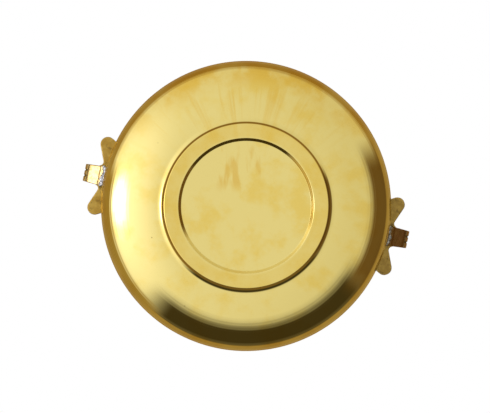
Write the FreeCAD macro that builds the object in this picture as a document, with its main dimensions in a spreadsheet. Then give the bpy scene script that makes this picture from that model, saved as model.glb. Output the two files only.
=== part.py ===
"""A brass urli: a wide, shallow turned bowl with two cast loop handles soldered to its lip.

Millimetres, +Z up. The origin is the centre of the foot's resting plane, and the handles
stand at +X and -X.
"""
import FreeCAD, Part
import math
import os

import Sketcher

SIZES = [
    # bowl, radii from the axis
    ("rim_radius", 133.4),      # outermost edge of the lip
    ("body_height", 47.0),      # resting plane to the top of the lip
    ("wall", 2.2),              # shell thickness, the same all over
    ("floor_radius", 62.2),     # where the flat floor starts to curve up
    ("lower_curve", 105.8),     # radius of curvature of the wall next to the floor
    ("lower_end", 111.8),       # where that curve gives way to a tighter one
    ("middle_curve", 71.0),
    ("upper_curve", 16.9),      # the last curve, which ends upright under the lip
    ("lip_width", 10.0),        # flat lip, from the outside inward
    ("lip_depth", 2.8),
    ("lip_proud", 1.8),         # how far the lip stands out past the wall
    ("lip_side", 4.2),          # height of the lip's outer side
    ("lip_round", 1.2),
    ("lip_corner", 1.5),
    # foot ring
    ("foot_height", 3.1),       # resting plane to the recessed centre disc
    ("recess_radius", 57.5),    # edge of the centre disc
    ("foot_inner", 60.0),       # flat resting ring, inner edge
    ("foot_outer", 72.4),       # flat resting ring, outer edge
    ("foot_root", 76.1),        # where the ring's outer slope meets the wall
    ("foot_round", 0.9),
    # handle, measured from the bowl's axis and up from the lip
    ("plate_thick", 3.0),
    ("plate_inner", 124.6),     # inner edge, just short of the lip's own edge
    ("plate_middle", 137.0),    # outer edge between the lobes, under the strap
    ("lobe_reach", 139.6),      # centre of a lobe's round end
    ("lobe_angle", 12.3),       # degrees either side of the handle's middle
    ("lobe_round", 6.8),
    ("plate_angle", 13.6),      # degrees to the end of the inner edge
    ("strap_tip", 16.2),        # strap's width just past its outermost point
    ("waist_offset", 12.5),     # handle's middle to the centre of the hollow by the strap
    ("waist_round", 3.2),
    ("strap_thick", 3.4),
    ("strap_root", 18.6),       # width where it leaves the plate
    ("strap_start", 133.0),     # where its underside leaves the plate
    ("strap_slope", 31.6),      # degrees, first straight run
    ("strap_inner", 125.4),     # inner face of the leg that comes back down
    ("strap_reach", 155.0),     # outermost point
    ("bend_outer", 13.7),       # radius of the outer face where the strap turns up
    ("bend_top", 11.0),         # and where it turns over the top
    ("groove_depth", 0.7),
    ("groove_width", 1.3),
    ("groove_offset", 2.7),     # middle of the strap to the middle of a long groove
    ("groove_first", 43.0),     # degrees below the outermost point, outer cross groove
    ("groove_last", 30.0),      # degrees above the level of the last bend, inner one
    ("groove_round", 0.8),      # radius of a cross groove
    # solder fillet under the plate
    ("solder_drop", 3.6),       # down the rim
    ("solder_reach", 136.6),    # out under the plate, from the axis
    ("solder_belly", 1.2),      # out from the rim at half its height
    ("solder_toe", 0.6),        # thickness where it runs out under the plate
    ("solder_width", 18.6),
]

HANDLES = [("right", 0.0), ("left", 180.0)]     # name and direction in degrees

doc = FreeCAD.newDocument("urli")


class Size:
    """A length together with the expression that ties it to the sheet."""

    def __init__(self, value, text):
        self.value = value
        self.text = text

    def joined(self, other, sign, value):
        text = other.text if isinstance(other, Size) else repr(other)
        return Size(value, f"({self.text} {sign} {text})")

    def __add__(self, other):
        return self.joined(other, "+", self.value + number(other))

    def __sub__(self, other):
        return self.joined(other, "-", self.value - number(other))

    def __mul__(self, other):
        return self.joined(other, "*", self.value * number(other))


def number(size):
    return size.value if isinstance(size, Size) else size


def turned(function, angle):
    """The sine, cosine or tangent of an angle that the sheet holds in degrees."""
    value = getattr(math, function)(math.radians(angle.value))
    return Size(value, f"{function}({angle.text} * 1 deg)")


def make_sheet():
    """The driving dimensions, one aliased cell each."""
    sheet = doc.addObject("Spreadsheet::Sheet", "sizes")
    cells = {}
    for row, (name, value) in enumerate(SIZES, start=1):
        sheet.set(f"A{row}", name)
        sheet.set(f"B{row}", str(value))
        sheet.setAlias(f"B{row}", name)
        cells[name] = Size(value, f"sizes.{name}")
    doc.recompute()
    return cells


cell = make_sheet()


def degrees(name):
    return math.radians(cell[name].value)


# ---------------------------------------------------------------- sketch helpers

X_AXIS = -1
Y_AXIS = -2
START, END, CENTRE = 1, 2, 3
ORIGIN = (-1, 1)
NEGLIGIBLE = 0.01               # mm, and mm3 for volumes


def new_body(name):
    body = doc.addObject("PartDesign::Body", name)
    body.Label = name
    return body


def origin_plane(body, role):
    return [item for item in body.Origin.OriginFeatures if item.Role == role][0]


def new_sketch(body, name, plane):
    """A sketch on one of the body's own origin planes."""
    sketch = body.newObject("Sketcher::SketchObject", name)
    sketch.AttachmentSupport = [(origin_plane(body, plane), "")]
    sketch.MapMode = "FlatFace"
    return sketch


def bind(sketch, kind, *refs):
    """Add a dimension whose last argument is a Size, and tie it to the sheet."""
    size = refs[-1]
    index = sketch.addConstraint(Sketcher.Constraint(kind, *refs[:-1], size.value))
    sketch.setExpression(f"Constraints[{index}]", size.text)


def rule(sketch, kind, *refs):
    sketch.addConstraint(Sketcher.Constraint(kind, *refs))


def place(sketch, geo, end, x=None, y=None):
    """Fix a point's distances from the origin; a plain 0 puts it on the axis."""
    for kind, axis, size in (("DistanceX", Y_AXIS, x), ("DistanceY", X_AXIS, y)):
        if size is None:
            continue
        if isinstance(size, Size):
            bind(sketch, kind, *ORIGIN, geo, end, size)
        else:
            rule(sketch, "PointOnObject", geo, end, axis)


def point(x, y):
    return FreeCAD.Vector(number(x), number(y), 0)


def line(sketch, start, end):
    return sketch.addGeometry(Part.LineSegment(point(*start), point(*end)), False)


def arc(sketch, centre, radius, first, last):
    """An arc that runs counter-clockwise between two angles in radians."""
    circle = Part.Circle(point(*centre), FreeCAD.Vector(0, 0, 1), number(radius))
    return sketch.addGeometry(Part.ArcOfCircle(circle, first, last), False)


def polygon(sketch, corners):
    """A closed outline of straight lines through corners that are all bound."""
    lines = [line(sketch, corners[i], corners[(i + 1) % len(corners)])
             for i in range(len(corners))]
    for i, geo in enumerate(lines):
        rule(sketch, "Coincident", geo, END, lines[(i + 1) % len(lines)], START)
        place(sketch, geo, START, *corners[i])


def feature(body, kind, name, sketch, **properties):
    made = body.newObject(f"PartDesign::{kind}", name)
    made.Profile = sketch
    for key, value in properties.items():
        if isinstance(value, Size):
            made.setExpression(key, value.text)
        else:
            setattr(made, key, value)
    doc.recompute()
    return made


def cut_checked(body, kind, name, sketch, **properties):
    """A cutting feature that has to take some material away."""
    before = body.Shape.Volume
    made = feature(body, kind, name, sketch, **properties)
    if body.Shape.Volume >= before - NEGLIGIBLE:
        raise ValueError(f"{name} cuts nothing")
    return made


def round_edges(body, name, radius, wanted):
    """Fillet the edges of the body's tip that the test picks."""
    base = body.Tip
    names = [f"Edge{i}" for i, edge in enumerate(base.Shape.Edges, start=1) if wanted(edge)]
    if not names:
        raise ValueError(f"{name} finds no edge")
    fillet = body.newObject("PartDesign::Fillet", name)
    fillet.Base = (base, names)
    fillet.setExpression("Radius", radius.text)
    doc.recompute()


def is_circle(radius, height):
    """A test for the full circles of one radius at one height about the Z axis."""
    def test(edge):
        curve = edge.Curve
        if not isinstance(curve, Part.Circle):
            return False
        return (abs(curve.Radius - radius) < NEGLIGIBLE
                and abs(curve.Center.z - height) < NEGLIGIBLE)
    return test


# ---------------------------------------------------------------- bowl

def wall_curves(sketch):
    """Three tangent arcs outside and three concentric ones inside, from floor to lip."""
    side, base = cell["rim_radius"] - cell["lip_proud"], cell["foot_height"]
    radii = [cell["lower_curve"], cell["middle_curve"], cell["upper_curve"]]
    low, mid, high = (radius.value for radius in radii)
    floor = cell["floor_radius"].value

    # centres and the slopes at which one curve hands over to the next
    low_centre = (floor, base.value + low)
    slope_1 = math.asin((cell["lower_end"].value - floor) / low)
    mid_centre = (floor + (low - mid) * math.sin(slope_1),
                  low_centre[1] - (low - mid) * math.cos(slope_1))
    slope_2 = math.asin((side.value - high - mid_centre[0]) / (mid - high))
    high_centre = (side.value - high,
                   mid_centre[1] - (mid - high) * math.cos(slope_2))
    foot_slope = math.asin((cell["foot_root"].value - floor) / low)

    centres = [low_centre, mid_centre, high_centre]
    down = -math.pi / 2
    outer_turns = [down + foot_slope, down + slope_1, down + slope_2, 0.0]
    inner_turns = [down, down + slope_1, down + slope_2, 0.0]

    outer = [arc(sketch, centres[i], radii[i], outer_turns[i], outer_turns[i + 1])
             for i in range(3)]
    inner = [arc(sketch, centres[i], radii[i] - cell["wall"], inner_turns[i], inner_turns[i + 1])
             for i in range(3)]

    for chain in (outer, inner):
        rule(sketch, "Tangent", chain[0], END, chain[1], START)
        rule(sketch, "Tangent", chain[1], END, chain[2], START)
        rule(sketch, "Horizontal", chain[2], CENTRE, chain[2], END)
    for out_arc, in_arc in zip(outer, inner):
        rule(sketch, "Coincident", out_arc, CENTRE, in_arc, CENTRE)
    for geo, radius in zip(outer, radii):
        bind(sketch, "Radius", geo, radius)
    place(sketch, outer[0], CENTRE, cell["floor_radius"], base + cell["lower_curve"])
    place(sketch, outer[0], START, cell["foot_root"])
    place(sketch, outer[0], END, cell["lower_end"])
    place(sketch, outer[2], END, side)
    bind(sketch, "Radius", inner[0], cell["lower_curve"] - cell["wall"])
    rule(sketch, "Vertical", inner[0], CENTRE, inner[0], START)
    return outer, inner, high_centre[1]


def make_bowl():
    """The shell in one piece: centre disc, foot ring, curved wall and flat lip."""
    body = new_body("bowl")
    sketch = new_sketch(body, "bowl_section", "XZ_Plane")
    outer, inner, shoulder = wall_curves(sketch)
    rim, top, wall = cell["rim_radius"], cell["body_height"], cell["wall"]
    base, side = cell["foot_height"], rim - cell["lip_proud"]

    # the wall's lowest curve carries on inward to the foot's root
    curve = cell["lower_curve"].value
    run = cell["foot_root"].value - cell["floor_radius"].value
    root_height = base.value + curve - math.sqrt(curve ** 2 - run ** 2)
    foot = [(0, base), (cell["recess_radius"], base), (cell["foot_inner"], 0),
            (cell["foot_outer"], 0), (cell["foot_root"], root_height)]
    under = [line(sketch, foot[i], foot[i + 1]) for i in range(len(foot) - 1)]
    for i, geo in enumerate(under):
        place(sketch, geo, START, *foot[i])
    for first, second in zip(under, under[1:] + [outer[0]]):
        rule(sketch, "Coincident", first, END, second, START)

    lip = [(side, shoulder), (side, top - cell["lip_side"]), (rim, top - cell["lip_side"]),
           (rim, top), (rim - cell["lip_width"], top),
           (rim - cell["lip_width"], top - cell["lip_depth"]),
           (side - wall, top - cell["lip_depth"]), (side - wall, shoulder)]
    edges = [line(sketch, lip[i], lip[i + 1]) for i in range(len(lip) - 1)]
    rule(sketch, "Coincident", outer[2], END, edges[0], START)
    rule(sketch, "Coincident", edges[-1], END, inner[2], END)
    for i in range(len(edges) - 1):
        rule(sketch, "Coincident", edges[i], END, edges[i + 1], START)
        place(sketch, edges[i], END, *lip[i + 1])

    floor = line(sketch, (cell["floor_radius"], base + wall), (0, base + wall))
    axis = line(sketch, (0, base + wall), (0, base))
    rule(sketch, "Coincident", inner[0], START, floor, START)
    rule(sketch, "Coincident", floor, END, axis, START)
    rule(sketch, "Coincident", axis, END, under[0], START)
    place(sketch, axis, START, 0)
    rule(sketch, "Horizontal", floor)

    feature(body, "Revolution", "bowl_turned", sketch,
            ReferenceAxis=(sketch, ["V_Axis"]), Angle=360.0)
    for name, radius, height in (("recess_edge", "recess_radius", base),
                                 ("foot_inner_edge", "foot_inner", 0),
                                 ("foot_outer_edge", "foot_outer", 0),
                                 ("foot_root_edge", "foot_root", root_height)):
        round_edges(body, name, cell["foot_round"],
                    is_circle(cell[radius].value, number(height)))
    for name, height in (("lip_outer_edge", top), ("lip_lower_edge", top - cell["lip_side"])):
        round_edges(body, name, cell["lip_round"], is_circle(rim.value, height.value))
    round_edges(body, "lip_inner_edge", cell["lip_round"],
                is_circle((rim - cell["lip_width"]).value, top.value))
    round_edges(body, "lip_corner_edge", cell["lip_corner"],
                is_circle((side - wall).value, (top - cell["lip_depth"]).value))
    return body


# ---------------------------------------------------------------- handle

def make_plate(body, name):
    """Half of the lobed plate, then its mirror image across the handle's middle."""
    sketch = new_sketch(body, f"{name}_plate_outline", "XY_Plane")
    inner_end = degrees("plate_angle")
    lobe = degrees("lobe_angle")
    reach, round_end = cell["lobe_reach"].value, cell["lobe_round"].value
    centre = (reach * math.cos(lobe), reach * math.sin(lobe))
    inner = (cell["plate_inner"].value * math.cos(inner_end),
             cell["plate_inner"].value * math.sin(inner_end))
    waist_x = cell["plate_middle"] + cell["waist_round"]
    waist = (waist_x.value, cell["waist_offset"].value)

    # the straight side between lobe and hollow touches both circles, on opposite sides
    across = math.dist(centre, waist)
    toward = math.atan2(waist[1] - centre[1], waist[0] - centre[0])
    lean = math.acos((round_end + cell["waist_round"].value) / across)
    lobe_touch = toward + lean
    waist_touch = lobe_touch + math.pi
    back = lobe + math.pi / 2 + math.radians(8)    # roughly: the solver settles it

    edge_in = arc(sketch, (0, 0), cell["plate_inner"], 0, inner_end)
    lobe_arc = arc(sketch, centre, cell["lobe_round"], lobe_touch, back)
    back_point = (centre[0] + round_end * math.cos(back), centre[1] + round_end * math.sin(back))
    end_line = line(sketch, inner, back_point)
    lobe_point = (centre[0] + round_end * math.cos(lobe_touch),
                  centre[1] + round_end * math.sin(lobe_touch))
    waist_radius = cell["waist_round"].value
    waist_point = (waist[0] + waist_radius * math.cos(waist_touch),
                   waist[1] + waist_radius * math.sin(waist_touch))
    side_line = line(sketch, lobe_point, waist_point)
    hollow = arc(sketch, waist, cell["waist_round"], waist_touch, math.pi)
    front = line(sketch, (cell["plate_middle"], waist[1]), (cell["plate_middle"], 0))
    middle = line(sketch, (cell["plate_middle"], 0), (cell["plate_inner"], 0))

    rule(sketch, "Coincident", edge_in, CENTRE, *ORIGIN)
    bind(sketch, "Radius", edge_in, cell["plate_inner"])
    rule(sketch, "Coincident", middle, END, edge_in, START)
    rule(sketch, "Coincident", edge_in, END, end_line, START)
    rule(sketch, "Tangent", end_line, END, lobe_arc, END)
    rule(sketch, "Tangent", lobe_arc, START, side_line, START)
    rule(sketch, "Tangent", side_line, END, hollow, START)
    rule(sketch, "Tangent", hollow, END, front, START)
    rule(sketch, "Coincident", front, END, middle, START)
    rule(sketch, "Horizontal", middle)
    rule(sketch, "PointOnObject", middle, START, X_AXIS)
    rule(sketch, "Vertical", front)
    bind(sketch, "Radius", lobe_arc, cell["lobe_round"])
    bind(sketch, "Radius", hollow, cell["waist_round"])
    place(sketch, lobe_arc, CENTRE,
          cell["lobe_reach"] * turned("cos", cell["lobe_angle"]),
          cell["lobe_reach"] * turned("sin", cell["lobe_angle"]))
    place(sketch, edge_in, END, None, cell["plate_inner"] * turned("sin", cell["plate_angle"]))
    place(sketch, hollow, CENTRE, waist_x, cell["waist_offset"])

    half = feature(body, "Pad", f"{name}_half_plate", sketch, Length=cell["plate_thick"])
    mirror = body.newObject("PartDesign::Mirrored", f"{name}_plate")
    mirror.Originals = [half]
    mirror.MirrorPlane = (origin_plane(body, "XZ_Plane"), [""])
    body.Tip = mirror
    doc.recompute()


def strap_centres():
    """Centres of the strap's three bends, which every outline along it shares."""
    slope = cell["strap_slope"]
    outer, top, reach = cell["bend_outer"], cell["bend_top"], cell["strap_reach"]
    run_end = reach - outer + outer * turned("sin", slope)
    level = ((run_end - cell["strap_start"]) * turned("tan", slope)
             + outer * turned("cos", slope))
    middle = reach - top
    last_radius = middle - cell["strap_inner"]
    centres = [(reach - outer, level), (middle, level), (middle, level + top - last_radius)]
    return centres, [outer, top, last_radius]


def bends(sketch, inset, first, last):
    """The three bends as tangent arcs, inset from the outer face, between two angles."""
    centres, radii = strap_centres()
    angles = [first, 0.0, math.pi / 2, last]
    arcs = [arc(sketch, centres[i], radii[i] - inset, angles[i], angles[i + 1])
            for i in range(3)]
    for geo, centre in zip(arcs, centres):
        place(sketch, geo, CENTRE, *centre)
    bind(sketch, "Radius", arcs[0], radii[0] - inset)
    rule(sketch, "Tangent", arcs[0], END, arcs[1], START)
    rule(sketch, "Tangent", arcs[1], END, arcs[2], START)
    return arcs


def face_outline(sketch, inset, foot_x, foot_height):
    """One face of the strap: straight run, bends, straight leg and the foot between them."""
    first = degrees("strap_slope") - math.pi / 2
    arcs = bends(sketch, inset, first, math.pi)
    centres, radii = strap_centres()
    touch = [(number(centres[i][0]) + (radii[i].value - number(inset)) * math.cos(angle),
              number(centres[i][1]) + (radii[i].value - number(inset)) * math.sin(angle))
             for i, angle in ((0, first), (2, math.pi))]
    run = line(sketch, (foot_x, foot_height), touch[0])
    leg = line(sketch, touch[1], (touch[1][0], foot_height))
    foot = line(sketch, (touch[1][0], foot_height), (foot_x, foot_height))
    rule(sketch, "Tangent", run, END, arcs[0], START)
    rule(sketch, "Tangent", arcs[2], END, leg, START)
    rule(sketch, "Coincident", leg, END, foot, START)
    rule(sketch, "Coincident", foot, END, run, START)
    return run, leg


def make_loop(body, name):
    """The strap's ring, as wide as its root, then tapered towards the outermost point."""
    sketch = new_sketch(body, f"{name}_strap_side", "XZ_Plane")
    start, thick, plate = cell["strap_start"], cell["strap_thick"], cell["plate_thick"]
    run, leg = face_outline(sketch, Size(0.0, "0"), start, 0)
    place(sketch, run, START, start, 0)
    place(sketch, leg, END, cell["strap_inner"], 0)

    slope = cell["strap_slope"]
    inner_foot = (start.value - thick.value * turned("sin", slope).value
                  + (plate.value - thick.value * turned("cos", slope).value)
                  / turned("tan", slope).value)
    inner_run, inner_leg = face_outline(sketch, thick, inner_foot, plate.value)
    rule(sketch, "Parallel", run, inner_run)
    rule(sketch, "Vertical", inner_leg)
    place(sketch, inner_run, START, None, plate)
    place(sketch, inner_leg, END, None, plate)
    feature(body, "Pad", f"{name}_strap", sketch, SideType="Symmetric",
            Length=cell["strap_root"])

    taper = new_sketch(body, f"{name}_strap_taper", "XY_Plane")
    taper.setExpression("AttachmentOffset.Base.z", plate.text)
    far = cell["strap_reach"] + cell["strap_thick"]
    for half in (0.5, -0.5):
        root, tip = cell["strap_root"] * half, cell["strap_tip"] * half
        past = root * 2
        polygon(taper, [(start, root), (far, tip), (far, past), (start, past)])
    cut_checked(body, "Pocket", f"{name}_tapered", taper, Type="ThroughAll", Reversed=True)


def make_grooves(body, name):
    """Two long grooves and two cross grooves, which leave three ribs over the strap."""
    centres, radii = strap_centres()
    first, last = cell["groove_first"], cell["groove_last"]
    ends = [(centres[0][0] + radii[0] * turned("cos", first),
             centres[0][1] - radii[0] * turned("sin", first)),
            (centres[2][0] - radii[2] * turned("cos", last),
             centres[2][1] + radii[2] * turned("sin", last))]

    for number_made, side in enumerate((1, -1), start=1):
        sketch = new_sketch(body, f"{name}_long_groove_{number_made}", "XZ_Plane")
        sketch.setExpression("AttachmentOffset.Base.z", (cell["groove_offset"] * side).text)
        chains = [bends(sketch, inset, -degrees("groove_first"),
                        math.pi - degrees("groove_last"))
                  for inset in (cell["groove_depth"], cell["groove_depth"] * -1)]
        for end, corner, pick in ((START, ends[0], 0), (END, ends[1], 2)):
            for chain in chains:
                place(sketch, chain[pick], end, corner[0])
            closing = line(sketch, (corner[0], corner[1]),
                           (corner[0], corner[1] + 2 * number(cell["groove_depth"])))
            rule(sketch, "Coincident", closing, START, chains[0][pick], end)
            rule(sketch, "Coincident", closing, END, chains[1][pick], end)
        cut_checked(body, "Pocket", f"{name}_long_cut_{number_made}", sketch,
                    SideType="Symmetric", Length=cell["groove_width"])

    cross = new_sketch(body, f"{name}_cross_grooves", "XZ_Plane")
    for x, z in ends:
        circle = Part.Circle(point(x, z), FreeCAD.Vector(0, 0, 1), cell["groove_round"].value)
        geo = cross.addGeometry(circle, False)
        bind(cross, "Radius", geo, cell["groove_round"])
        place(cross, geo, CENTRE, x, z)
    cut_checked(body, "Pocket", f"{name}_cross_cut", cross, SideType="Symmetric",
                Length=cell["strap_root"] * 2)


def stand_on_lip(body, angle):
    """Turn a piece to its side of the bowl and lift it to the lip."""
    body.Placement.Rotation = FreeCAD.Rotation(FreeCAD.Vector(0, 0, 1), angle)
    body.setExpression("Placement.Base.z", cell["body_height"].text)


def make_handle(side, angle):
    name = f"handle_{side}"
    body = new_body(name)
    make_plate(body, name)
    make_loop(body, name)
    make_grooves(body, name)
    stand_on_lip(body, angle)
    return body


def make_solder(side, angle):
    """A fillet of solder in the corner between the plate's underside and the rim."""
    name = f"solder_{side}"
    body = new_body(name)
    sketch = new_sketch(body, f"{name}_section", "XZ_Plane")
    rim, drop, reach = cell["rim_radius"], cell["solder_drop"], cell["solder_reach"]
    inside = rim - cell["wall"]
    polygon(sketch, [(inside, 0), (inside, drop * -1), (rim, drop * -1),
                     (rim + cell["solder_belly"], drop * -0.5),
                     (reach, cell["solder_toe"] * -1), (reach, 0)])
    feature(body, "Pad", f"{name}_bar", sketch, SideType="Symmetric",
            Length=cell["solder_width"])

    # the inner side is turned away to the rim's own radius
    seat = new_sketch(body, f"{name}_seat", "XZ_Plane")
    polygon(seat, [(0, drop * 2), (0, drop * -2), (rim, drop * -2), (rim, drop * 2)])
    cut_checked(body, "Groove", f"{name}_seated", seat,
                ReferenceAxis=(seat, ["V_Axis"]), Angle=360.0)
    stand_on_lip(body, angle)
    return body


def check_and_write(bodies):
    """Stop on any failed object, then write one file per piece."""
    doc.recompute()
    for item in doc.Objects:
        if "Invalid" in item.State or "Error" in item.State:
            raise ValueError(f"{item.Name} failed: {item.State}")
    os.makedirs("parts", exist_ok=True)
    for body in bodies:
        shape = body.Shape
        if shape.isNull() or not shape.isValid() or len(shape.Solids) != 1:
            raise ValueError(f"{body.Label} is not one valid solid")
        print(f"{body.Label}: {shape.Volume:.0f} mm3, {shape.BoundBox}")
        shape.exportStep(f"parts/{body.Label}.step")


bodies = [make_bowl()]
for side, angle in HANDLES:
    bodies.append(make_handle(side, angle))
    bodies.append(make_solder(side, angle))
check_and_write(bodies)
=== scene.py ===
import math

import bpy
import numpy as np
from mathutils import Matrix, Vector


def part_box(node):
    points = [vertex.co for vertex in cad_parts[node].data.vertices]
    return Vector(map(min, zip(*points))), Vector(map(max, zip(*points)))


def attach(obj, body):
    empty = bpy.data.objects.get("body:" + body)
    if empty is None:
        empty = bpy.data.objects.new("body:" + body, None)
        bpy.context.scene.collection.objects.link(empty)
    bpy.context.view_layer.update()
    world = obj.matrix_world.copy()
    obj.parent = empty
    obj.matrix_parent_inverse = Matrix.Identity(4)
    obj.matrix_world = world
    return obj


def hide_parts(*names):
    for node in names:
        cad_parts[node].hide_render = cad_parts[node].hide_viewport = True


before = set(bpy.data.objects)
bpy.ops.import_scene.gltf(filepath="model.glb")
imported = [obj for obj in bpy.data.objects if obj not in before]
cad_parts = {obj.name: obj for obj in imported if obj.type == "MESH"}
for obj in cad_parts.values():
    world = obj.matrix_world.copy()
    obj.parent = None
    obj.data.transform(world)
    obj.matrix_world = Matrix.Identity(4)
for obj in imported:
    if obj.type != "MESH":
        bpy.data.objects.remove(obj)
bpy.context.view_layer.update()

# Brass urli bowl, seen from underneath. Every length below is in millimetres unless its name
# says otherwise, and is turned into metres where a mesh or a node is made.

MM = 0.001

bowl_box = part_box("bowl")
RIM = bowl_box[1].x / MM              # radius of the lip's outer side
TOP = bowl_box[1].z / MM              # height of the lip's top
HANDLE_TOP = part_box("handle_right")[1].z / MM
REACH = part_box("handle_right")[1].x / MM

# bowl section
WALL = 2.2                            # thickness
BASE = 3.1                            # height of the centre disc's underside
RECESS, FOOT_IN, FOOT_OUT, ROOT = 57.5, 60.0, 72.4, 76.1    # radii round the foot ring
FLOOR = 62.2                          # radius of the inside's flat floor
CURVES = (105.8, 71.0, 16.9)          # radii of the wall's three curves, from the foot up
FIRST_END = 111.8                     # radius at which the first curve ends
LIP_PROUD, LIP_WIDE, LIP_DEEP = 1.8, 10.0, 2.8

# handle, in the plane of its middle: distance from the bowl's axis, height above the lip
PLATE_THICK, PLATE_IN, PLATE_FRONT, PLATE_END = 3.0, 124.6, 137.0, 13.6
LOBE_AT, LOBE_ANGLE, LOBE_ROUND = 139.6, 12.3, 6.8
WAIST_AT, WAIST_ROUND = 12.5, 3.2
STRAP_START, STRAP_SLOPE, STRAP_THICK = 133.0, 31.6, 3.4
STRAP_ROOT, STRAP_TIP = 18.6, 16.2
BENDS = (13.7, 11.0)                  # outer radii of the lower and the upper bend
LEG_AT = 125.4                        # outer face of the loop's upright leg
STRAP_FACE = 9.2                      # half width of the strap's dressed face
CREVICE = (135.2, 10.4)               # corner beside the strap's root, darkened with painted shade
GROOVE_AT, GROOVE_DEEP, GROOVE_FROM, GROOVE_TO = 2.7, 0.7, 43.0, 30.0

# camera and stage
ROLL = 11.8                           # how far the handles' line is turned in the picture
DISTANCE = 1100.0                     # from the camera to the rim's plane
LENS, SENSOR = 87.73, 36.0
ASIDE, ALONG = -1.0, -0.46            # the camera's small offset from the bowl's axis
FLOOR_DROP = 0.3                      # the stage floor lies this far under the foot


# ---------------------------------------------------------------- small tools

def waves(points, length, seed, count=10):
    """Smooth bumps between about -1 and 1, from waves in seeded directions."""
    chance = np.random.default_rng(seed)
    total = np.zeros(len(points))
    for _ in range(count):
        way = chance.normal(size=3)
        way *= chance.uniform(0.6, 1.5) / np.linalg.norm(way)
        total += np.sin(points @ way * (2 * math.pi / length) + chance.uniform(0, 6.28))
    return total / math.sqrt(count) / 1.4


def mesh_piece(name, points, faces):
    """A mesh object from points in millimetres."""
    mesh = bpy.data.meshes.new(name)
    mesh.from_pydata((np.asarray(points) * MM).tolist(), [], faces)
    mesh.validate()
    mesh.polygons.foreach_set("use_smooth", [True] * len(mesh.polygons))
    mesh.update()
    piece = bpy.data.objects.new(name, mesh)
    bpy.context.collection.objects.link(piece)
    return piece


def arc_points(centre, radius, first, last, steps):
    """Points of an arc, with its angles in degrees."""
    angles = np.radians(np.linspace(first, last, steps))
    return [(centre[0] + radius * math.cos(a), centre[1] + radius * math.sin(a))
            for a in angles]


def round_corner(before, corner, after, radius, steps=7):
    """Points of a round corner between two straight lines."""
    before, corner, after = (np.array(p, float) for p in (before, corner, after))
    to_a = (before - corner) / np.linalg.norm(before - corner)
    to_b = (after - corner) / np.linalg.norm(after - corner)
    half = math.acos(np.clip(to_a @ to_b, -1, 1)) / 2
    middle = corner + (to_a + to_b) / np.linalg.norm(to_a + to_b) * radius / math.sin(half)
    start = corner + to_a * radius / math.tan(half) - middle
    end = corner + to_b * radius / math.tan(half) - middle
    turn = math.atan2(start[0] * end[1] - start[1] * end[0], start @ end)
    points = []
    for step in np.linspace(0, turn, steps):
        c, s = math.cos(step), math.sin(step)
        points.append((middle[0] + c * start[0] - s * start[1],
                       middle[1] + s * start[0] + c * start[1]))
    return points


def fill_in(points, gap):
    """More points on the long straight stretches of a line of points."""
    filled = []
    for a, b in zip(points, points[1:]):
        parts = max(1, int(math.dist(a, b) / gap))
        filled += [(a[0] + (b[0] - a[0]) * i / parts, a[1] + (b[1] - a[1]) * i / parts)
                   for i in range(parts)]
    return filled + [points[-1]]


# ---------------------------------------------------------------- bowl

def wall_centres():
    """Centres of the wall's three curves and the slopes where they meet."""
    low, mid, high = CURVES
    side = RIM - LIP_PROUD
    slope_1 = math.asin((FIRST_END - FLOOR) / low)
    first = (FLOOR, BASE + low)
    second = (FLOOR + (low - mid) * math.sin(slope_1), first[1] - (low - mid) * math.cos(slope_1))
    slope_2 = math.asin((side - high - second[0]) / (mid - high))
    third = (side - high, second[1] - (mid - high) * math.cos(slope_2))
    return (first, second, third), (math.degrees(slope_1), math.degrees(slope_2))


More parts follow.
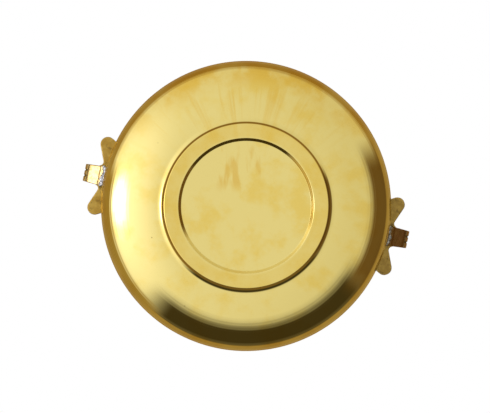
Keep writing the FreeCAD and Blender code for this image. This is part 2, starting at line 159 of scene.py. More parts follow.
def bowl_section():
    """The bowl's closed section from the middle of its underside round to the inside."""
    centres, (slope_1, slope_2) = wall_centres()
    root_slope = math.degrees(math.asin((ROOT - FLOOR) / CURVES[0]))
    root = (ROOT, centres[0][1] - CURVES[0] * math.cos(math.radians(root_slope)))
    cove_end = root_slope + 2.4
    past_root = arc_points(centres[0], CURVES[0], cove_end - 90, cove_end - 90, 1)[0]
    side, inside = RIM - LIP_PROUD, RIM - LIP_PROUD - WALL
    bevel = [(side, TOP - 6.4), (RIM - 0.15, TOP - 3.4), (RIM, TOP - 2.4)]

    under = [(0.0, BASE)]
    under += round_corner((0, BASE), (RECESS, BASE), (FOOT_IN, 0), 0.5)
    under += round_corner((RECESS, BASE), (FOOT_IN, 0), (FOOT_OUT, 0), 1.1, 10)
    under += round_corner((FOOT_IN, 0), (FOOT_OUT, 0), root, 1.2)
    under += round_corner((FOOT_OUT, 0), root, past_root, 8.5, 12)
    outer = []
    for centre, radius, first, last, steps in (
            (centres[0], CURVES[0], cove_end, slope_1, 60),
            (centres[1], CURVES[1], slope_1, slope_2, 36),
            (centres[2], CURVES[2], slope_2, 90, 44)):
        outer += arc_points(centre, radius, first - 90, last - 90, steps)[1:]
    lip = round_corner((side, TOP - 9), bevel[0], bevel[1], 0.5, 4)
    lip += round_corner(bevel[0], bevel[1], bevel[2], 0.6, 4)
    lip += round_corner(bevel[1], bevel[2], (RIM, TOP), 0.8, 4)
    lip += round_corner(bevel[2], (RIM, TOP), (RIM - LIP_WIDE, TOP), 1.2)
    lip += round_corner((RIM, TOP), (RIM - LIP_WIDE, TOP), (RIM - LIP_WIDE, TOP - LIP_DEEP), 1.2)
    lip += round_corner((RIM - LIP_WIDE, TOP), (RIM - LIP_WIDE, TOP - LIP_DEEP),
                        (inside, TOP - LIP_DEEP), 0.6, 4)
    lip += round_corner((RIM - LIP_WIDE, TOP - LIP_DEEP), (inside, TOP - LIP_DEEP),
                        (inside, TOP - 8), 1.4)
    inner = []
    for centre, radius, first, last, steps in (
            (centres[2], CURVES[2] - WALL, 90, slope_2, 20),
            (centres[1], CURVES[1] - WALL, slope_2, slope_1, 20),
            (centres[0], CURVES[0] - WALL, slope_1, 0, 40)):
        inner += arc_points(centre, radius, first - 90, last - 90, steps)
    inner.append((0.0, BASE + WALL))
    section = []
    for stretch, gap in ((under, 1.6), (outer, 0.9), (lip, 1.2), (inner, 2.0)):
        section += fill_in(stretch, gap)
    return section


def without_repeats(section):
    """A line of points without those that lie on each other."""
    same = 0.02
    kept = [section[0]]
    for point in section[1:]:
        if math.dist(point, kept[-1]) > same:
            kept.append(point)
    return kept


def make_bowl():
    """The shell turned from its section, with the slight waviness of hand polishing."""
    section = without_repeats(bowl_section())
    turns = 288
    angles = np.arange(turns) * (2 * math.pi / turns)
    rings = section[1:-1]
    points = [(0, 0, section[0][1])]
    for r, z in rings:
        points += [(r * math.cos(a), r * math.sin(a), z) for a in angles]
    points.append((0, 0, section[-1][1]))
    points = np.array(points)
    faces = []
    for j in range(turns):
        k = (j + 1) % turns
        faces.append((0, 1 + k, 1 + j))
        for i in range(len(rings) - 1):
            a, b = 1 + i * turns, 1 + (i + 1) * turns
            faces.append((a + j, a + k, b + k, b + j))
        a = 1 + (len(rings) - 1) * turns
        faces.append((len(points) - 1, a + j, a + k))
    radius = np.hypot(points[:, 0], points[:, 1])
    # nothing moves at the foot's resting face
    free = np.clip((points[:, 2] - 0.5) / 2.0, 0, 1)
    points[:, 2] += free * (0.026 * waves(points, 46.0, 3) + 0.007 * waves(points, 14.0, 4))
    swell = free * 0.02 * waves(points, 60.0, 5)
    points[:, :2] *= (1 + swell / np.maximum(radius, 40.0))[:, None]

    # turning rings, fainter towards the foot
    up_wall = np.clip((radius - 92) / 36, 0, 1) * free
    drift = waves(points, 90.0, 6)
    along = radius + points[:, 2] + 0.5 * drift
    rings = np.sin(along * 2 * math.pi / 5.2) + 0.6 * np.sin(along * 2 * math.pi / 3.3 + drift)
    points[:, 2] -= up_wall * 0.011 * rings
    return mesh_piece("bowl_shell", points, faces)


# ---------------------------------------------------------------- cast pieces

def skin(field, corner, pitch):
    """Surface nets: a point in each grid cell that the surface crosses, a face on each edge."""
    cells = np.array(field.shape) - 1
    total, count, crossings = np.zeros((*cells, 3)), np.zeros(cells), []
    for axis in range(3):
        low = np.moveaxis(np.moveaxis(field, axis, 0)[:-1], 0, axis)
        high = np.moveaxis(np.moveaxis(field, axis, 0)[1:], 0, axis)
        cross = (low < 0) != (high < 0)
        edge = np.argwhere(cross)
        spot = edge.astype(float)
        spot[:, axis] += low[cross] / (low[cross] - high[cross])
        around = []
        for back_1, back_2 in ((0, 0), (1, 0), (1, 1), (0, 1)):
            cell = edge.copy()
            cell[:, (axis + 1) % 3] -= back_1
            cell[:, (axis + 2) % 3] -= back_2
            np.add.at(total, tuple(cell.T), spot)
            np.add.at(count, tuple(cell.T), 1)
            around.append(cell)
        crossings.append((around, low[cross] < 0))
    number = np.full(tuple(cells), -1)
    number[count > 0] = np.arange((count > 0).sum())
    points = total[count > 0] / count[count > 0][:, None] * pitch + corner
    faces = []
    for around, outward in crossings:
        quads = np.stack([number[tuple(cell.T)] for cell in around], axis=1)
        quads[~outward] = quads[~outward][:, ::-1]
        faces += quads.tolist()
    return points, faces


def line_distance(x, y, path):
    """Distance from each x, y to a line of points."""
    best = np.full(np.broadcast(x, y).shape, 1e9)
    for (ax, ay), (bx, by) in zip(path, path[1:]):
        dx, dy = bx - ax, by - ay
        t = np.clip(((x - ax) * dx + (y - ay) * dy) / (dx * dx + dy * dy + 1e-12), 0, 1)
        best = np.minimum(best, np.hypot(x - ax - t * dx, y - ay - t * dy))
    return best


def outline_distance(x, y, outline):
    """Distance to a closed outline, negative inside it."""
    inside = np.zeros(np.broadcast(x, y).shape, bool)
    closed = outline + [outline[0]]
    for (ax, ay), (bx, by) in zip(closed, closed[1:]):
        if ay != by:
            inside ^= ((ay > y) != (by > y)) & (x < (bx - ax) * (y - ay) / (by - ay) + ax)
    distance = line_distance(x, y, closed)
    return np.where(inside, -distance, distance)


def blend_in(a, b, size):
    """The union of two shapes with a soft fillet between them."""
    near = np.clip(0.5 + 0.5 * (b - a) / size, 0, 1)
    return b * (1 - near) + a * near - size * near * (1 - near)


def slab(across, along, round_by):
    """Where two distances are both negative, with a round edge between them."""
    a, b = across + round_by, along + round_by
    return np.minimum(np.maximum(a, b), 0) + np.hypot(np.maximum(a, 0), np.maximum(b, 0)) - round_by


def plate_outline():
    """Plan of the plate: waist, lobe and inner edge on one side, then the mirror image."""
    lobe_turn = math.radians(LOBE_ANGLE)
    lobe = (LOBE_AT * math.cos(lobe_turn), LOBE_AT * math.sin(lobe_turn))
    waist = (PLATE_FRONT + WAIST_ROUND, WAIST_AT)
    inner = (PLATE_IN * math.cos(math.radians(PLATE_END)),
             PLATE_IN * math.sin(math.radians(PLATE_END)))
    toward = math.degrees(math.atan2(waist[1] - lobe[1], waist[0] - lobe[0]))
    lean = math.degrees(math.acos((LOBE_ROUND + WAIST_ROUND) / math.dist(lobe, waist)))
    touch = toward + lean
    behind = math.degrees(math.atan2(inner[1] - lobe[1], inner[0] - lobe[0])) % 360
    back = behind - math.degrees(math.acos(LOBE_ROUND / math.dist(lobe, inner)))
    half = arc_points(waist, WAIST_ROUND, 264, touch + 180, 12)
    half += arc_points(lobe, LOBE_ROUND, touch, back, 20)
    half += arc_points((0, 0), PLATE_IN, PLATE_END, 0, 12)
    return half + [(x, -y) for x, y in reversed(half)]


def strap_path(inset, first=None, last=180.0):
    """The strap's side view, that far inside its outer face. Without angles, all of it."""
    slope = math.radians(STRAP_SLOPE)
    low, high = BENDS
    x_0 = REACH - low
    level = ((x_0 + low * math.sin(slope) - STRAP_START) * math.tan(slope)
             + low * math.cos(slope))
    x_1 = REACH - high
    last_radius = x_1 - LEG_AT
    path = []
    if first is None:
        path.append((STRAP_START - inset * math.sin(slope), inset * math.cos(slope)))
        first = STRAP_SLOPE - 90
    path += arc_points((x_0, level), low - inset, first, 0, 14)
    path += arc_points((x_1, level), high - inset, 0, 90, 16)[1:]
    path += arc_points((x_1, level + high - last_radius), last_radius - inset, 90, last, 16)[1:]
    if last == 180.0:
        path.append((LEG_AT + inset, 1.5))
    return path


GROOVES = strap_path(0.0, -GROOVE_FROM, 180.0 - GROOVE_TO)


def groove_distance(x, y, z):
    """Distance to the two long grooves and the two cross grooves of the strap."""
    outer_face = line_distance(x, z, GROOVES)
    long_ones = np.hypot(outer_face, np.abs(y) - GROOVE_AT) - GROOVE_DEEP - 0.05
    ends = [np.hypot(x - ex, z - ez) - 0.8 for ex, ez in (GROOVES[0], GROOVES[-1])]
    return np.minimum(long_ones, np.minimum(*ends))


def handle_field(x, y, z):
    """Negative inside the handle: lobed plate, ribbed strap and the soft corners between."""
    plate = slab(outline_distance(x, y, plate_outline()),
                 np.abs(z - PLATE_THICK / 2) - PLATE_THICK / 2, 0.9)
    share = np.clip((x - STRAP_START) / (REACH - STRAP_START), 0, 1)
    half_wide = (STRAP_ROOT + (STRAP_TIP - STRAP_ROOT) * share) / 2
    slope = math.radians(STRAP_SLOPE)
    below_strap = z * math.cos(slope) - (x - STRAP_START) * math.sin(slope)
    plate = np.maximum(plate, -np.maximum(below_strap, np.abs(y) - half_wide))
    side = line_distance(x, z, strap_path(STRAP_THICK / 2)) - STRAP_THICK / 2
    strap = slab(side, np.abs(y) - half_wide, 0.7)
    body = blend_in(plate, strap, 1.0)
    body = np.maximum(body, -z)
    return -blend_in(-body, groove_distance(x, y, z), 0.35)


def set_on_lip(points, degrees):
    """Points lifted to the lip and turned to their side of the bowl."""
    c, s = math.cos(math.radians(degrees)), math.sin(math.radians(degrees))
    x, y, z = points.T
    return np.stack([c * x - s * y, s * x + c * y, z + TOP], axis=1)


def make_handle(name, seed, degrees):
    """One cast handle on its side of the lip."""
    pitch = 0.42
    corner = np.array([PLATE_IN - 4.5, -38.5, -1.2])
    far = np.array([REACH + 1.5, 38.5, HANDLE_TOP - TOP + 1.5])
    ticks = [np.arange(corner[i], far[i], pitch) for i in range(3)]
    x, y, z = ticks[0][:, None, None], ticks[1][None, :, None], ticks[2][None, None, :]
    points, faces = skin(handle_field(x, y, z), corner, pitch)

    # where the strap is dressed smooth, where dirt stays in the grooves, and the crevice beside the
    # strap's root, which gets painted shade, darker on one side
    px, py, pz = points.T
    on_face = np.exp(-(line_distance(px, pz, strap_path(0.0)) / 0.7) ** 2)
    dressed = on_face * np.clip((STRAP_FACE - np.abs(py)) / 0.8, 0, 1)
    groove_grime_and_crevice_shade = np.exp(-np.maximum(groove_distance(px, py, pz), 0) / 0.35)
    # painted shade: the crevice by the strap's root is darkened as if in shadow, fully on one side
    # and half on the other
    crevice = np.exp(-((px - CREVICE[0]) ** 2 + (np.abs(py) - CREVICE[1]) ** 2 + pz ** 2) / 3.0)
    groove_grime_and_crevice_shade = np.maximum(groove_grime_and_crevice_shade, 0.9 * crevice * np.where(py < 0, 1.0, 0.5))
    rim_of_plate = np.exp(-np.abs(outline_distance(px, py, plate_outline())) / 0.5)
    worn = rim_of_plate * (pz < PLATE_THICK + 0.3) * (1 - groove_grime_and_crevice_shade)

    # cast skin: shallow dents, less on the dressed strap, none at the reach or the seat
    rough = (1 - 0.85 * dressed) * np.clip(pz / 0.8, 0, 1) * np.clip((REACH - px) / 1.5, 0, 1)
    push = rough * (0.10 * waves(points, 7.5, seed) + 0.05 * waves(points, 2.6, seed + 1) - 0.05)
    centre = np.array([138.0, 0, 10.0])
    outward = points - centre
    points = points + outward / np.linalg.norm(outward, axis=1)[:, None] * push[:, None]

    piece = mesh_piece(name, set_on_lip(points, degrees), faces)
    for label, values in (("dressed", dressed), ("groove_grime_and_crevice_shade", groove_grime_and_crevice_shade), ("worn", worn)):
        layer = piece.data.attributes.new(label, "FLOAT", "POINT")
        layer.data.foreach_set("value", values.astype(np.float32))
    return piece


def make_solder(name, seed, degrees):
    """Lumps of soft solder in the corner between the rim and the strap's root."""
    chance = np.random.default_rng(seed)
    pitch = 0.3
    corner = np.array([RIM - 2.6, -11.0, -4.6])
    far = np.array([RIM + 7.0, 11.0, 4.5])
    ticks = [np.arange(corner[i], far[i], pitch) for i in range(3)]
    x, y, z = ticks[0][:, None, None], ticks[1][None, :, None], ticks[2][None, None, :]
    bead = line_distance(x, z, [(RIM - 0.6, -1.6), (RIM + 1.4, 0.3)]) - 0.8
    field = slab(bead, np.abs(y) - 8.8, 0.6)
    for y_at in np.linspace(-8.0, 8.0, 15):
        size = chance.uniform(0.9, 1.6)
        out = chance.uniform(-0.2, 2.6)
        drop = np.sqrt(((x - RIM - out) / 1.3) ** 2
                       + ((y - y_at - chance.uniform(-0.7, 0.7)) / 1.1) ** 2
                       + (z - out * math.tan(math.radians(STRAP_SLOPE)) + 0.35) ** 2) - size
        field = blend_in(field, drop, 0.6)
    points, faces = skin(field, corner, pitch)
    points = points + 0.05 * np.stack([waves(points, 1.7, seed + i) for i in range(3)], axis=1)
    return mesh_piece(name, set_on_lip(points, degrees), faces)


# ---------------------------------------------------------------- materials
# Sizes here are in metres, as the object's own coordinates are.

PALE_BRASS, WARM_BRASS = (0.81, 0.67, 0.245, 1), (0.79, 0.58, 0.13, 1)
RING_BRASS, DRIP_ORANGE = (0.74, 0.52, 0.10, 1), (0.74, 0.46, 0.05, 1)
SMEAR_BROWN, CORNER_BROWN = (0.72, 0.47, 0.09, 1), (0.26, 0.14, 0.035, 1)
RIM_BROWN, PIT_BROWN = (0.40, 0.24, 0.06, 1), (0.35, 0.24, 0.08, 1)
LATHE_RING_GAP, RIM_RING_GAP = 0.0019, 0.0027

def add(tree, kind, inputs=None, **settings):
    """A node with its settings made and its inputs filled or joined."""
    made = tree.nodes.new("ShaderNode" + kind)
    for name, value in settings.items():
        setattr(made, name, value)
    for key, value in (inputs or {}).items():
        if isinstance(value, bpy.types.NodeSocket):
            tree.links.new(value, made.inputs[key])
        else:
            made.inputs[key].default_value = value
    return made


def sums(tree, operation, *values):
    """The result of one Math node."""
    return add(tree, "Math", dict(enumerate(values)), operation=operation).outputs[0]


def span(tree, value, low, high, to_low=0.0, to_high=1.0):
    """value carried smoothly from one range to another, and held at its ends."""
    return add(tree, "MapRange", {"Value": value, 1: low, 2: high, 3: to_low, 4: to_high},
               interpolation_type="SMOOTHSTEP").outputs[0]


def mix(tree, share, a, b):
    """Colour a turning into colour b as share goes from 0 to 1."""
    node = add(tree, "Mix", {0: share, 6: a, 7: b}, data_type="RGBA")
    return node.outputs[2]


def noise(tree, where, scale, detail=3.0, rough=0.5):
    """A cloudy value around one half."""
    return add(tree, "TexNoise", {"Vector": where, "Scale": scale, "Detail": detail,
                                  "Roughness": rough}).outputs[0]


def new_material(name):
    """A material with its output and one metal shader, and the object's own coordinates."""
    material = bpy.data.materials.new(name)
    material.use_nodes = True
    tree = material.node_tree
    tree.nodes.clear()
    shader = add(tree, "BsdfPrincipled", {"Metallic": 1.0})
    output = add(tree, "OutputMaterial")
    tree.links.new(shader.outputs[0], output.inputs[0])
    where = add(tree, "TexCoord").outputs["Object"]
    return material, tree, shader, where


def polar(tree, where):
    """Radius in metres, the direction from the axis as a vector, and the height."""
    parts = add(tree, "SeparateXYZ", {0: where})
    flat = add(tree, "CombineXYZ", {0: parts.outputs[0], 1: parts.outputs[1], 2: 0.0})
    radius = add(tree, "VectorMath", {0: flat.outputs[0]}, operation="LENGTH").outputs["Value"]
    way = add(tree, "VectorMath", {0: flat.outputs[0]}, operation="NORMALIZE").outputs[0]
    return radius, way, parts.outputs[2]


def ray_noise(tree, radius, way, around, outward, detail=4.0):
    """Noise stretched along the radius: fine around the bowl, long outwards."""
    parts = add(tree, "SeparateXYZ", {0: way})
    vector = add(tree, "CombineXYZ", {0: sums(tree, "MULTIPLY", parts.outputs[0], around),
                                      1: sums(tree, "MULTIPLY", parts.outputs[1], around),
                                      2: sums(tree, "MULTIPLY", radius, outward)})
    return noise(tree, vector.outputs[0], 1.0, detail, 0.55)


def times(tree, first, *others):
    """The product of two or more values."""
    for other in others:
        first = sums(tree, "MULTIPLY", first, other)
    return first


def close_to(tree, value, middle, edge, full):
    """1 where value is within full of middle, 0 where it is further off than edge."""
    off = sums(tree, "ABSOLUTE", sums(tree, "SUBTRACT", value, middle))
    return span(tree, off, edge, full)


def dot(tree, where, axis):
    """How far a place lies along an axis."""
    node = add(tree, "VectorMath", {0: where, 1: axis}, operation="DOT_PRODUCT")
    return node.outputs["Value"]


def ring_mask(tree, radius, cloud, under):
    """The foot's resting ring, which is yellower, as it is never buffed."""
    zone = times(tree, span(tree, radius, 0.0590, 0.0625), span(tree, radius, 0.0744, 0.0728))
    return times(tree, zone, under, span(tree, cloud, 0.3, 0.6, 0.3, 0.65))


def drip_mask(tree, radius, way, upward, blotch):
    """Old drips and orange streaks on one side of the bowl, up towards the lip."""
    one_side = span(tree, upward, 0.035, 0.115)
    streak = span(tree, ray_noise(tree, radius, way, 15.0, 7.0), 0.50, 0.68)
    near_lip = times(tree, one_side, span(tree, radius, 0.100, 0.122),
                     span(tree, blotch, 0.36, 0.56, 0.15, 0.75))
    return sums(tree, "MAXIMUM", times(tree, streak, one_side, 0.55), near_lip)


def smear_mask(tree, sideways, upward, under):
    """Smears that ran down the disc."""
    run = add(tree, "CombineXYZ", {0: times(tree, sideways, 95.0),
                                   1: times(tree, upward, 22.0), 2: 0.0})
    run = span(tree, noise(tree, run.outputs[0], 1.0, 3.0, 0.5), 0.50, 0.62)
    patch = times(tree, close_to(tree, sideways, -0.006, 0.024, 0.014),
                  close_to(tree, upward, 0.034, 0.024, 0.012), under)
    return times(tree, run, patch, 0.7)


def corner_mask(tree, radius, height):
    """A darker brown line in the foot's outer corner and in the corner under the lip."""
    foot = times(tree, close_to(tree, radius, 0.0737, 0.0010, 0.0002),
                 span(tree, height, 0.0042, 0.0036))
    lip = times(tree, close_to(tree, height, 0.0407, 0.0008, 0.0002),
                span(tree, radius, 0.1308, 0.1314))
    return times(tree, sums(tree, "MAXIMUM", foot, lip), 0.6)


def rim_ring_mask(tree, where, radius, height, cloud):
    """Thin rings of tarnish that the buffing left under the lip."""
    drift = times(tree, noise(tree, where, 14.0, 2.0), 0.0024)
    up_side = sums(tree, "ADD", sums(tree, "ADD", radius, height), drift)
    line = sums(tree, "SINE", times(tree, up_side, 2 * math.pi / RIM_RING_GAP))
    return times(tree, span(tree, line, 0.1, 0.9), span(tree, cloud, 0.38, 0.60, 0.2, 1.0),
                 span(tree, radius, 0.121, 0.129), 0.7)


def pit_mask(tree, where):
    """A few pits and specks."""
    cells = add(tree, "TexVoronoi", {"Vector": where, "Scale": 60.0, "Randomness": 1.0})
    pit = span(tree, cells.outputs["Distance"], 0.055, 0.025)
    rare = span(tree, noise(tree, where, 23.0, 0.0), 0.60, 0.63)
    return times(tree, pit, rare, 0.7)


def lathe_bump(tree, where, radius):
    """Lathe rings, deeper in the middle of the disc, and fine scratches."""
    wobble = times(tree, noise(tree, where, 60.0, 2.0), 0.0009)
    ring_at = sums(tree, "ADD", radius, wobble)
    ring = sums(tree, "SINE", times(tree, ring_at, 2 * math.pi / LATHE_RING_GAP))
    ring = times(tree, ring, span(tree, radius, 0.040, 0.015, 0.06, 1.0))
    stretched = add(tree, "Mapping", {0: where, 3: (1, 9, 1)}).outputs[0]
    scratch = noise(tree, stretched, 420.0, 2.0)
    surface = sums(tree, "ADD", ring, times(tree, scratch, 0.8))
    bump = add(tree, "Bump", {"Strength": 1.0, "Distance": 0.0000012, "Height": surface})
    return bump.outputs[0]


def polished_brass():
    """Turned and buffed brass: faint tarnish, smears, scratches and lathe rings."""
    material, tree, shader, where = new_material("brass_polished")
    radius, way, height = polar(tree, where)
    right, up = picture_axes()
    sideways, upward = dot(tree, where, right), dot(tree, where, up)
    under = span(tree, height, 0.004, 0.003)

    # clouds of faint tarnish, drawn out along the radius on the wall
    cloud = noise(tree, where, 30.0, 5.0, 0.62)
    on_wall = span(tree, radius, 0.060, 0.090)
    blotch = mix(tree, on_wall, cloud, ray_noise(tree, radius, way, 4.2, 34.0, 5.0))
    blotch = add(tree, "RGBToBW", {0: blotch}).outputs[0]
    both = sums(tree, "ADD", times(tree, cloud, 0.5), times(tree, blotch, 0.5))
    warm = span(tree, both, 0.46, 0.66)

    colour = mix(tree, times(tree, warm, 0.8), PALE_BRASS, WARM_BRASS)
    drips = drip_mask(tree, radius, way, upward, blotch)
    for mask, tone in ((ring_mask(tree, radius, cloud, under), RING_BRASS),
                       (drips, DRIP_ORANGE),
                       (smear_mask(tree, sideways, upward, under), SMEAR_BROWN),
                       (corner_mask(tree, radius, height), CORNER_BROWN),
                       (rim_ring_mask(tree, where, radius, height, cloud), RIM_BROWN),
                       (pit_mask(tree, where), PIT_BROWN)):
        colour = mix(tree, mask, colour, tone)
    tree.links.new(colour, shader.inputs["Base Color"])

    gloss = sums(tree, "ADD", span(tree, blotch, 0.45, 0.75, 0.0, 0.06), times(tree, cloud, 0.05))
    gloss = sums(tree, "ADD", gloss, times(tree, drips, 0.10))
    tree.links.new(sums(tree, "ADD", gloss, 0.02), shader.inputs["Roughness"])
    shader.inputs["Anisotropic"].default_value = 0.35
    tangent = add(tree, "Tangent", direction_type="RADIAL", axis="Z")
    tree.links.new(tangent.outputs[0], shader.inputs["Tangent"])
    tree.links.new(lathe_bump(tree, where, radius), shader.inputs["Normal"])
    return material


def cast_brass(name, light, deep, rubbed_tone):
    """Rough sand-cast brass with a dressed strap, grime in its grooves and painted shade in the
    crevice by the strap's root.
    """
    material, tree, shader, where = new_material(name)
    dressed = add(tree, "Attribute", attribute_name="dressed").outputs["Fac"]
    groove_grime_and_crevice_shade = add(tree, "Attribute", attribute_name="groove_grime_and_crevice_shade").outputs["Fac"]
    worn = add(tree, "Attribute", attribute_name="worn").outputs["Fac"]
    blotch = noise(tree, where, 120.0, 4.0, 0.6)
    grain = noise(tree, where, 900.0, 3.0, 0.6)
    colour = mix(tree, span(tree, blotch, 0.38, 0.64), (*deep, 1), (*light, 1))
    colour = mix(tree, sums(tree, "MULTIPLY", span(tree, grain, 0.55, 0.72), 0.35), colour,
                 (0.25, 0.15, 0.04, 1))
    rubbed = span(tree, noise(tree, where, 340.0, 3.0), 0.35, 0.6, 0.45, 0.85)
    colour = mix(tree, sums(tree, "MULTIPLY", worn, rubbed), colour, (0.74, 0.54, 0.17, 1))
    colour = mix(tree, sums(tree, "MULTIPLY", dressed, rubbed), colour, (*rubbed_tone, 1))
    # darkening from dirt specks, grime in the grooves and the painted shade of the crevice by the
    # strap's root
    dirt_and_shade = span(tree, noise(tree, where, 200.0, 3.0), 0.58, 0.70)
    dirt_and_shade = sums(tree, "MAXIMUM", sums(tree, "MULTIPLY", dirt_and_shade, 0.5), groove_grime_and_crevice_shade)
    colour = mix(tree, sums(tree, "MULTIPLY", dirt_and_shade, 0.72), colour, (0.09, 0.06, 0.025, 1))
    tree.links.new(colour, shader.inputs["Base Color"])
    dull = span(tree, dressed, 0.0, 1.0, 0.44, 0.19)
    dull = sums(tree, "ADD", dull, sums(tree, "MULTIPLY", dirt_and_shade, 0.25))
    tree.links.new(dull, shader.inputs["Roughness"])
    surface = sums(tree, "ADD", blotch, sums(tree, "MULTIPLY", grain, 0.25))
    surface = sums(tree, "MULTIPLY", surface, span(tree, dressed, 0.0, 1.0, 1.0, 0.15))
    bump = add(tree, "Bump", {"Strength": 1.0, "Distance": 0.00018, "Height": surface})
    tree.links.new(bump.outputs[0], shader.inputs["Normal"])
    return material


def soft_solder():
    """Dull grey solder with brighter high spots."""
    material, tree, shader, where = new_material("solder_grey")
    blotch = noise(tree, where, 420.0, 4.0, 0.6)
    colour = mix(tree, span(tree, blotch, 0.35, 0.66), (0.16, 0.15, 0.13, 1), (0.56, 0.56, 0.56, 1))
    tree.links.new(colour, shader.inputs["Base Color"])
    tree.links.new(span(tree, blotch, 0.3, 0.7, 0.55, 0.3), shader.inputs["Roughness"])
    bump = add(tree, "Bump", {"Strength": 1.0, "Distance": 0.00025, "Height": blotch})
    tree.links.new(bump.outputs[0], shader.inputs["Normal"])
    return material


# ---------------------------------------------------------------- stage

def below(tree):
    """1 for light that has come up through the stage floor, else 0."""
    depth = add(tree, "LightPath").outputs["Transparent Depth"]
    return sums(tree, "GREATER_THAN", depth, 0.5)


def make_floor():
    """A pale floor, clear for a camera under it, so that the bowl is seen from underneath."""
    size = 6.0
    mesh = bpy.data.meshes.new("stage_floor")
    z = -FLOOR_DROP * MM
    mesh.from_pydata([(-size, -size, z), (size, -size, z), (size, size, z), (-size, size, z)],
                     [], [(0, 1, 2, 3)])
    floor = bpy.data.objects.new("stage_floor", mesh)
    bpy.context.collection.objects.link(floor)
    material = bpy.data.materials.new("stage_floor")
    material.use_nodes = True
    tree = material.node_tree
    tree.nodes.clear()
    pale = add(tree, "BsdfDiffuse", {"Color": (0.72, 0.71, 0.69, 1)})
    clear = add(tree, "BsdfTransparent")
    back = add(tree, "NewGeometry").outputs["Backfacing"]
    through = sums(tree, "MAXIMUM", back, below(tree))
    both = add(tree, "MixShader", {0: through, 1: pale.outputs[0], 2: clear.outputs[0]})
    output = add(tree, "OutputMaterial")
    tree.links.new(both.outputs[0], output.inputs[0])
    mesh.materials.append(material)


# Broad soft flags round the horizon under the bowl, as a polished thing needs dark to show
# its shape: bearing from and to, degrees above the horizon from and to, colour, and how soft
# the edges are. Bearings run clockwise in the picture from its right.
KEY_AT = (181, 23)                    # the key light's bearing and height, in degrees
FLAGS = [
    (30, 134, -4, 35, (0.060, 0.046, 0.021), 9.0),
    (-24, 36, -12, 26, (0.17, 0.105, 0.040), 8.0),
    (132, 196, -6, 9, (0.42, 0.30, 0.11), 6.0),
]


# azimuth and height in degrees, half width in degrees, strength
SOFTBOXES = [(-70, 52, 26, 3.2), (150, 38, 20, 2.0), (40, 75, 16, 2.4)]


def under_light(tree, way):
    """Soft dome, one key, a warm floor tone and the flags, for the view from underneath."""
    x, y, z = add(tree, "SeparateXYZ", {0: way}).outputs
    bearing = sums(tree, "DEGREES", sums(tree, "ARCTAN2", y, x))
    bearing = sums(tree, "SUBTRACT", sums(tree, "FLOORED_MODULO",
                                          sums(tree, "ADD", bearing, ROLL + 60), 360.0), 60.0)
    height = sums(tree, "DEGREES", sums(tree, "ARCSINE", sums(tree, "MULTIPLY", z, -1.0)))

    # dome: brightest round the key light, a little darker away from it
    key_bearing, key_height = (math.radians(KEY_AT[0] - ROLL), math.radians(KEY_AT[1]))
    key = (math.cos(key_bearing) * math.cos(key_height),
           math.sin(key_bearing) * math.cos(key_height), -math.sin(key_height))
    off = sums(tree, "DEGREES", sums(tree, "ARCCOSINE", dot(tree, way, key)))
    dome = mix(tree, span(tree, off, 20, 130), (1.0, 1.0, 0.98, 1), (0.82, 0.80, 0.70, 1))
    glare = sums(tree, "MULTIPLY", span(tree, off, 17, 0), 5.0)
    haze = sums(tree, "MULTIPLY", span(tree, off, 55, 0), 0.68)
    glow = sums(tree, "ADD", glare, haze)
    glow = add(tree, "VectorMath", {0: (1.0, 1.0, 1.25), "Scale": glow}, operation="SCALE")
    dome = add(tree, "VectorMath", {0: dome, 1: glow.outputs[0]}, operation="ADD").outputs[0]

    # one warm tone under the horizon
    horizon = span(tree, height, 6.0, -3.0)
    colour = mix(tree, horizon, dome, (0.44, 0.31, 0.12, 1))
    for low, high, bottom, top, shade, soft in FLAGS:
        ahead = sums(tree, "MULTIPLY", span(tree, bearing, low - soft, low + soft),
                     span(tree, bearing, high + soft, high - soft))
        level = sums(tree, "MULTIPLY", span(tree, height, bottom - soft, bottom + soft),
                     span(tree, height, top + soft, top - soft))
        colour = mix(tree, sums(tree, "MULTIPLY", ahead, level), colour, (*shade, 1))
    return colour


def studio(tree, way):
    """A soft dome with the large softboxes, for a camera above the floor."""
    z = add(tree, "SeparateXYZ", {0: way}).outputs[2]
    colour = mix(tree, span(tree, z, -0.05, 0.75), (0.30, 0.30, 0.31, 1), (0.80, 0.80, 0.80, 1))
    for bearing, height, wide, strength in SOFTBOXES:
        turn, lift = math.radians(bearing), math.radians(height)
        aim = (math.cos(turn) * math.cos(lift), math.sin(turn) * math.cos(lift), math.sin(lift))
        edge, full = math.cos(math.radians(wide)), math.cos(math.radians(wide * 0.55))
        box = span(tree, dot(tree, way, aim), edge, full)
        colour = mix(tree, box, colour, (strength, strength, strength * 0.98, 1))
    return colour


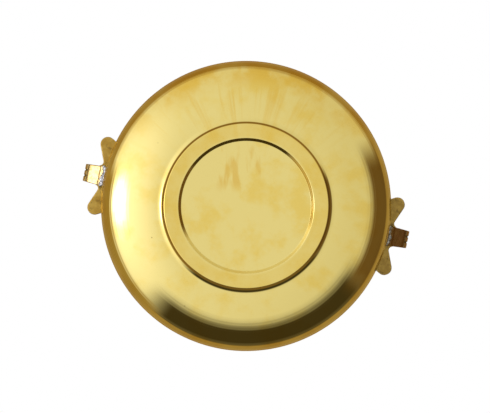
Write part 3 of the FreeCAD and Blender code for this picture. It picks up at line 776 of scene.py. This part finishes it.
def make_world():
    """The two lights, a pale backdrop above the floor and a white one under it."""
    world = bpy.data.worlds.new("studio")
    bpy.context.scene.world = world
    world.use_nodes = True
    tree = world.node_tree
    tree.nodes.clear()
    way = add(tree, "TexCoord").outputs["Generated"]
    colour = mix(tree, below(tree), studio(tree, way), under_light(tree, way))
    seen = add(tree, "LightPath").outputs["Is Camera Ray"]
    backdrop = mix(tree, below(tree), (0.62, 0.61, 0.60, 1), (1, 1, 1, 1))
    colour = mix(tree, seen, colour, backdrop)
    background = add(tree, "Background", {0: colour, 1: 1.0})
    output = add(tree, "OutputWorld")
    tree.links.new(background.outputs[0], output.inputs[0])


def picture_axes():
    """The picture's right and up in the row frame, seen from underneath."""
    turn = math.radians(ROLL)
    right = Vector((math.cos(turn), -math.sin(turn), 0))
    up = Vector((-math.sin(turn), -math.cos(turn), 0))
    return right, up


def make_camera():
    """The photograph's view: from underneath, along the bowl's axis."""
    right, up = picture_axes()
    data = bpy.data.cameras.new("camera")
    data.lens, data.sensor_width = LENS, SENSOR
    camera = bpy.data.objects.new("camera", data)
    bpy.context.collection.objects.link(camera)
    place = (right * ASIDE + up * ALONG + Vector((0, 0, TOP - DISTANCE))) * MM
    camera.matrix_world = Matrix.Translation(place) @ Matrix(
        (right, up, right.cross(up))).transposed().to_4x4()
    bpy.context.scene.camera = camera


# ---------------------------------------------------------------- scene

make_floor()
make_world()
make_camera()
bpy.context.scene.view_settings.view_transform = "Standard"

brass, grey = polished_brass(), soft_solder()
# The right handle gets a darker copy of the cast brass, strap included: painted shade, as that
# handle lies in the bowl's shadow. The left copy keeps the lit tone.
cast_painted_shade = cast_brass("brass_cast_painted_shade", (0.36, 0.24, 0.06), (0.26, 0.165, 0.04),
                        (0.42, 0.23, 0.09))
cast_left = cast_brass("brass_cast_gold", (0.50, 0.33, 0.075), (0.40, 0.24, 0.045),
                       (0.74, 0.56, 0.24))
made = [(make_bowl(), "bowl", brass),
        (make_handle("handle_right_cast", 11, 0), "handle_right", cast_painted_shade),
        (make_handle("handle_left_cast", 21, 180), "handle_left", cast_left),
        (make_solder("solder_right_lumps", 31, 0), "solder_right", grey),
        (make_solder("solder_left_lumps", 41, 180), "solder_left", grey)]
for piece, node, material in made:
    piece.data.materials.append(material)
    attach(piece, "root")
    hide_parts(node)

bpy.context.view_layer.update()
